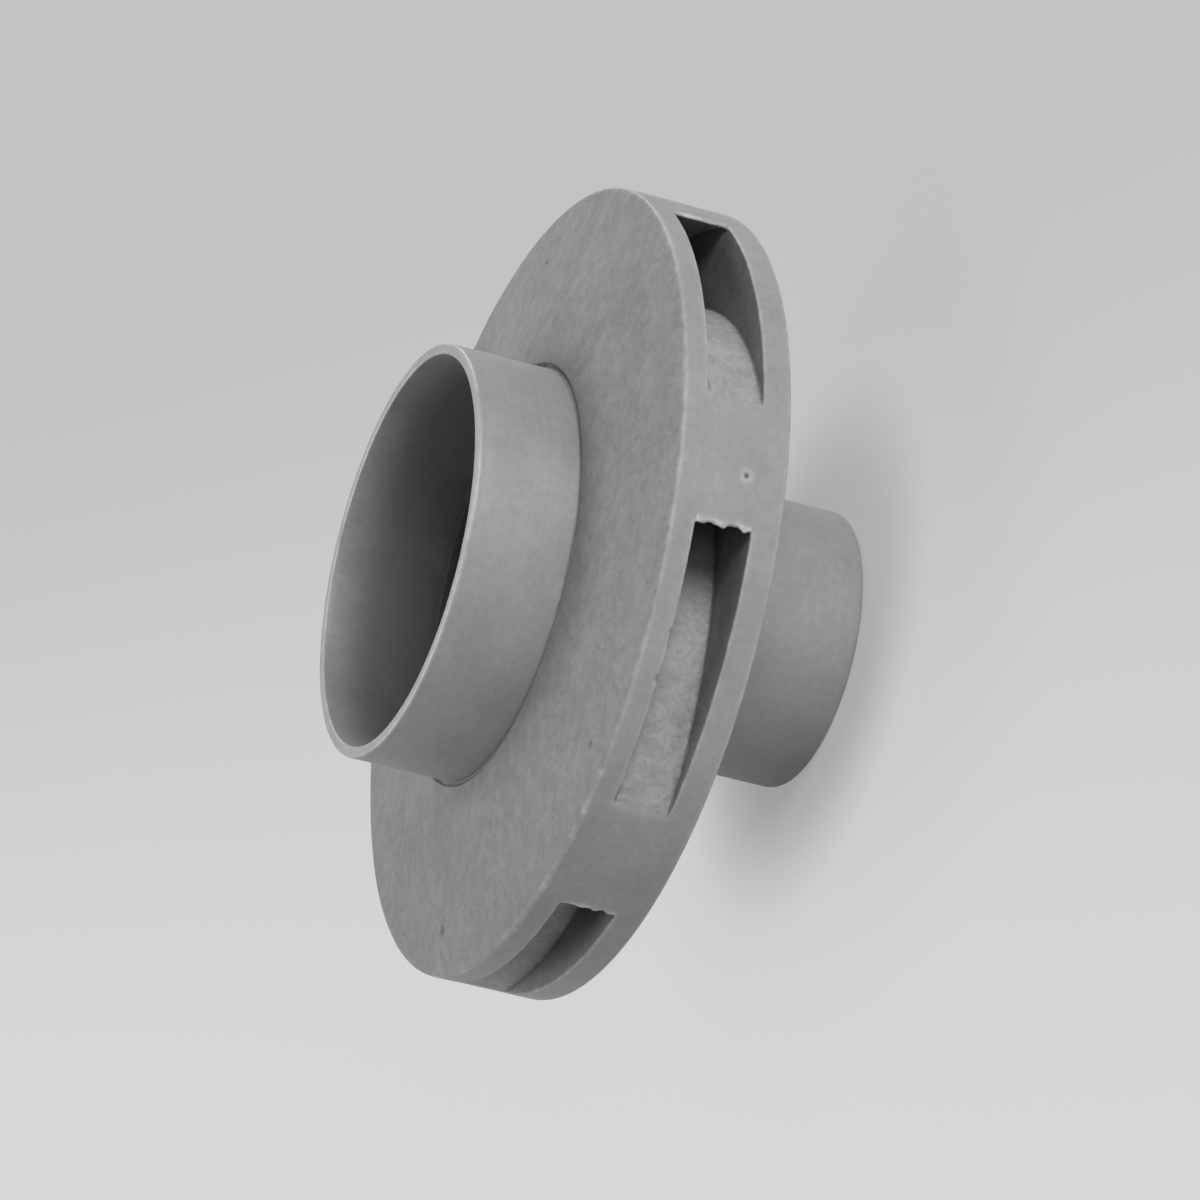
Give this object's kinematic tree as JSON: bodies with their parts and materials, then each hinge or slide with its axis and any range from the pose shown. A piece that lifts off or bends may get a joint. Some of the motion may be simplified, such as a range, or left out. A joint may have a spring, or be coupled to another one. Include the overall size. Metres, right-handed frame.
{
  "type": "pump impeller",
  "caption": "Closed centrifugal pump impeller: swept vanes between two shrouds, a thin wear collar round the eye, and a long keyed hub.",
  "frame": {"origin": "centre of the hub end face, on which the impeller stands", "axes": "+Z along the shaft towards the eye; the keyway lies towards +X"},
  "size_m": [0.127, 0.127, 0.0699],
  "materials": {
    "cast_metal": "sand cast and fine turned, matt grey"
  },
  "bodies": {
    "root": {"impeller": "cast_metal"}
  },
  "joints": []
}
